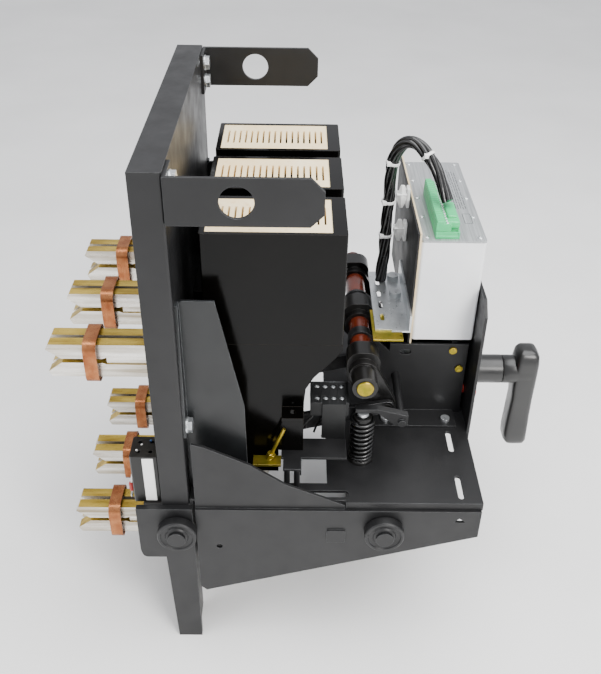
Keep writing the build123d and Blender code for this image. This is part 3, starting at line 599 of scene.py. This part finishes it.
def make_trip_unit_details():
    """Screws, plain printed bars and a frame on the cover, and the keys on the case's front."""
    low, high = box("trip_unit_cover")
    top = high.z
    screws = Piece("cover_screws", ZINC)
    in_row, inset = 5, 7
    spacing = (high.x - low.x - 2 * inset) / (in_row - 1)
    for i in range(in_row):
        for y in (high.y - 6, low.y + 6):
            screw(screws, (low.x + inset + i * spacing, y, top - 0.05), 2.6)
    screws.done()
    lines = Piece("cover_print", PRINT)
    inked = top + 0.05
    for row in range(7):
        y = low.y + 10 + row * 2.6
        start = low.x + 70 + random.uniform(0, 6)
        while start < high.x - 30:
            end = start + random.uniform(5, 16)
            lines.block((start, y, top), (end, y + 0.7, inked), round_by=0)
            start = end + 2
    left, right, front, rear = low.x + 38, low.x + 60, low.y + 8, low.y + 16.6
    for y in (front, rear - 0.6):
        lines.block((left, y, top), (right, y + 0.6, inked), round_by=0)
    for x in (left, right - 0.6):
        lines.block((x, front, top), (x + 0.6, rear, inked), round_by=0)
    lines.done()
    face = Piece("trip_unit_keys", BLACK_PLASTIC, WHITE_PLASTIC, RED)
    face.block((low.x + 8, low.y - 0.4, 382), (high.x - 8, low.y + 0.3, 422), round_by=0.3)
    for i in range(4):
        left = low.x + 22 + i * 22
        face.block((left, low.y - 0.5, 388), (left + 14, low.y, 396), 1, 0.4)
        screw(face, (left + 7, low.y - 0.1, 410), 2.2, -Y, 2, 0.4)
    face.done()


def make_terminals():
    """Pluggable terminals: a header with its cells, and the plug with wire funnels and screws."""
    low, high = box("terminal_header")
    ways = 20
    pitch = (high.x - low.x - 2) / ways
    header = Piece("header_strip", GREEN)
    header.block((low.x, low.y, low.z), (high.x, high.y, low.z + 3), round_by=0.4)
    header.block((low.x, low.y, low.z + 2.5), (high.x, low.y + 1.6, high.z), round_by=0.3)
    header.block((low.x, high.y - 1.6, low.z + 2.5), (high.x, high.y, high.z), round_by=0.3)
    for i in range(ways + 1):
        x = low.x + 1 + i * pitch
        header.block((x - 0.4, low.y + 1, low.z + 2.5), (x + 0.4, high.y - 1, high.z), round_by=0)
    header.done(stands_for=["terminal_header"])

    low, high = box("terminal_plug")
    plug = Piece("plug_strip", GREEN, ZINC, BLACK_PLASTIC)
    for i in range(ways):
        left = low.x + i * pitch
        right = left + pitch
        plug.block((left + 0.15, high.y - 15, low.z), (right - 0.15, high.y, low.z + 8.5),
                   round_by=0.35)
        plug.block((left + 0.15, high.y - 7, low.z + 8),
                   (right - 0.15, high.y - 0.5, low.z + 11), round_by=0.35)
        screw(plug, (left + pitch / 2, high.y - 11, low.z + 8.4), 1.6, Z, 1, 0.6)
        # Black patch on the plug's face: painted shade inside each wire entry.
        plug.block((left + 1.1, high.y - 0.6, low.z + 2.4),
                   (right - 1.1, high.y - 0.02, low.z + 6), 2, 0.2)
    plug.block((-19, low.y, low.z), (27, low.y + 13.8, low.z + 9), round_by=2, segments=3)
    plug.block((-12, low.y + 2, low.z + 8), (20, low.y + 12, high.z), round_by=2.2, segments=3)
    plug.done(stands_for=["terminal_plug"])


# ---- left side details ----

def make_terminal_block_details():
    """Two rows of screws with ribs between the ways, a metal strip, and the leads below."""
    low = box("terminal_block")[0]
    right, rear, front, top = -72.0, 10.0, -29.0, 285.0
    ways, way = 4, 8.4
    screws = Piece("terminal_screws", ZINC)
    for x in (-99.0, -80.0):
        for i in range(ways):
            screw(screws, (x, front + 6.9 + i * way, top - 2.6), 2.75, Z, 0, 2.3)
    screws.block((right - 1.2, front + 0.4, top - 1), (right - 0.2, rear - 0.4, top),
                 round_by=0.3)
    screws.done()
    ribs = Piece("terminal_ribs", BLACK_PLASTIC)
    for i in range(ways + 1):
        y = front + 2.7 + i * way
        ribs.block((low.x + 3.2, y - 0.5, top - 0.2), (right - 2, y + 0.5, top), round_by=0.15)
    ribs.done()
    wires = Piece("terminal_leads", WRAP)
    for i, (x, y) in enumerate(((-96, -20), (-90, -12), (-84, -3), (-98, 4))):
        route = [(x, y, 267.8), (x - 3, y + 3, 262), (x - 8, y + 9 + i, 256),
                 (x - 9, y + 15 + i, 247), (x - 14, y + 18, 241.8)]
        wires.tube(evenly(smooth_route("lead_line", route), 0.0015), 1.1, segments=8)
    wires.done()


def make_actuator_details():
    """Trip actuator: a dark body inside a black coil spring, on a base with a ring of beads."""
    low, high = box("trip_actuator")
    centre = ((low.x + high.x) / 2, (low.y + high.y) / 2)
    body = Piece("actuator_coil", WRAP, STEEL, DARK_RESIN)
    body.turned([(12.9, 0), (12.9, 3), (12, 4.2), (9.4, 5), (9.2, 56), (8.4, 57.8), (4.1, 58),
                 (4.1, 36), (0, 36)], (*centre, low.z), Z, 2)
    body.tube(helix(centre, 11.3, low.z + 6, high.z - 3, 5.2), 1.55, 0)
    beads, bead_circle = 18, 11.2
    for i in range(beads):
        angle = 2 * math.pi * i / beads
        body.turned([(0, -1.5), (1.1, -1.1), (1.5, 0), (1.1, 1.1), (0, 1.5)],
                    (centre[0] + bead_circle * math.cos(angle),
                     centre[1] + bead_circle * math.sin(angle), low.z + 5.4), Z, 1, 10)
    body.done(stands_for=["trip_actuator"])


def make_closing_spring():
    """The coil under the platform, with a mesh of its own."""
    low, high = box("closing_spring")
    centre = ((low.x + high.x) / 2, (low.y + high.y) / 2)
    spring = Piece("closing_coil", STEEL)
    spring.tube(helix(centre, 17, low.z + 3, high.z - 3, 13, per_turn=28), 2.9, segments=14)
    coil = spring.done(stands_for=["closing_spring"])
    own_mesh(coil)


def make_rollers():
    """Turned rollers with a rim, a sunk web and a hub boss."""
    for name in ("front_left", "front_right", "rear_left", "rear_right"):
        low, high = box("roller_" + name)
        outward = -X if "left" in name else X
        inner = (high if "left" in name else low).x
        width = high.x - low.x
        centre = (inner, (low.y + high.y) / 2, (low.z + high.z) / 2)
        roller = Piece("turned_roller_" + name, STEEL, BLACK_PAINT)
        roller.turned([(6.05, 0), (18.8, 0), (19.9, 1), (20, 1.6), (20, width - 1.6),
                       (19.9, width - 1), (18.8, width), (17, width), (16, width - 1.4),
                       (12, width - 1.8), (11, width - 0.4), (10.4, width), (6.05, width)],
                      centre, outward, 1, 64)
        roller.done("roller_" + name, stands_for=["roller_" + name])


def make_rear_leads():
    """The secondary block's blank label, and leads with ring terminals behind the panel."""
    low, high = box("secondary_block")
    label = Piece("blank_label", WHITE_PLASTIC)
    label.block((low.x - 0.25, low.y + 5, low.z + 2), (low.x + 0.2, low.y + 16, high.z - 2),
                round_by=0.15)
    label.done()
    leads = Piece("rear_leads", WHITE_PLASTIC, BLUE, RED, ZINC)
    routes = (
        (0, [(-147, 176, 262), (-142, 180, 254), (-138, 186, 236), (-136, 192, 214),
             (-134, 195, 196)]),
        (1, [(-141, 168, 262), (-136, 172, 255), (-128, 178, 246), (-121, 184, 238)]),
        (0, [(-155, 180, 262), (-150, 184, 252), (-142, 189, 244), (-128, 188, 238),
             (-120, 186, 234)]),
    )
    for part, route in routes:
        leads.tube(evenly(smooth_route("rear_line", route), 0.0015), 1.2, part, 8)
    for x, y, z in ((-120, 186, 233), (-134, 195, 193), (-30, 183, 262)):
        leads.turned([(1.6, -6), (2.6, -5), (2.8, 3), (2.0, 5.5), (1.4, 6)], (x, y, z), Z, 2, 16)
        leads.turned([(2.2, 0), (4.3, 0), (4.3, 1), (2.2, 1), (2.2, 0)], (x, y, z - 10), Y, 3, 20)
    leads.done()


def make_bar_details():
    """The hub's adjusting stud with its nuts, which turns with the crossbar."""
    stud = Piece("adjusting_stud", ZINC, STEEL)
    x, y = 40, -30.5
    stud.block((35.8, -34, 282), (44, -27, 285), 1, 0.4)
    stud.turned([(0, -1), (2, -1), (2.2, 0), (2.2, 13), (1.8, 14), (0, 14)], (x, y, 275),
                Z, 0, 16)
    for z in (278.2, 285.2):
        stud.turned([(2.2, 0), (4.2, 0), (4.4, 0.5), (4.4, 3), (4.2, 3.5), (2.2, 3.5)],
                    (x, y, z), Z, 0, 6)
    stud.done("crossbar")


def make_handle():
    """Neck and raised round knuckle on the shaft, and a faceted grip that hangs from it."""
    low, high = box("handle_grip")
    mid = (low.x + high.x) / 2
    shaft_z = 240.0
    grip = Piece("grip", HANDLE_PLASTIC)
    grip.turned([(0, 0), (15.8, 0), (16.4, 0.6), (16.4, 14), (17, 20), (17, 31), (15.6, 36),
                 (12, 39), (6, 40.3), (0, 40.4)], (mid, high.y, shaft_z), -Y, 0, 56)
    # height, rear, front and half width of each section, from the knuckle down
    outline = ((271, -233, -243, 6), (269, -229, -248, 11), (264, -226.5, -251.5, 14.5),
               (254, -225.5, -252.4, 16.3), (240, -225, -252.5, 16.8), (222, -226, -252.6, 16.2),
               (205, -227.6, -252.8, 14.6), (180, -227.2, -253.5, 14.2),
               (152, -226.6, -254.6, 14.6), (141, -227.4, -255, 14.4),
               (136, -230.5, -253.6, 12.4), (133, -236, -249.5, 8.5))
    sides, squareness = 40, 0.42        # a power of 1 would make the sections ellipses
    rings = []
    for z, rear, front, half in outline:
        ring = []
        for k in range(sides):
            angle = 2 * math.pi * k / sides
            c, s = math.cos(angle), math.sin(angle)
            ring.append(grip.mesh.verts.new(mm(
                mid + half * math.copysign(abs(c) ** squareness, c),
                (rear + front) / 2 + (rear - front) / 2 * math.copysign(abs(s) ** squareness, s),
                z)))
        rings.append(ring)
    for a, b in zip(rings, rings[1:]):
        for k in range(sides):
            n = (k + 1) % sides
            face = grip.mesh.faces.new((a[k], a[n], b[n], b[k]))
            face.smooth = True
    for ring in (rings[0], rings[-1]):
        grip.mesh.faces.new(ring).smooth = True
    grip.done("handle", stands_for=["handle_grip"], angle=50)


make_camera()
make_stage()
paint_nodes()
make_loom()
make_trip_unit_details()
make_terminals()
make_terminal_block_details()
make_actuator_details()
make_closing_spring()
make_rollers()
make_rear_leads()
make_bar_details()
make_handle()
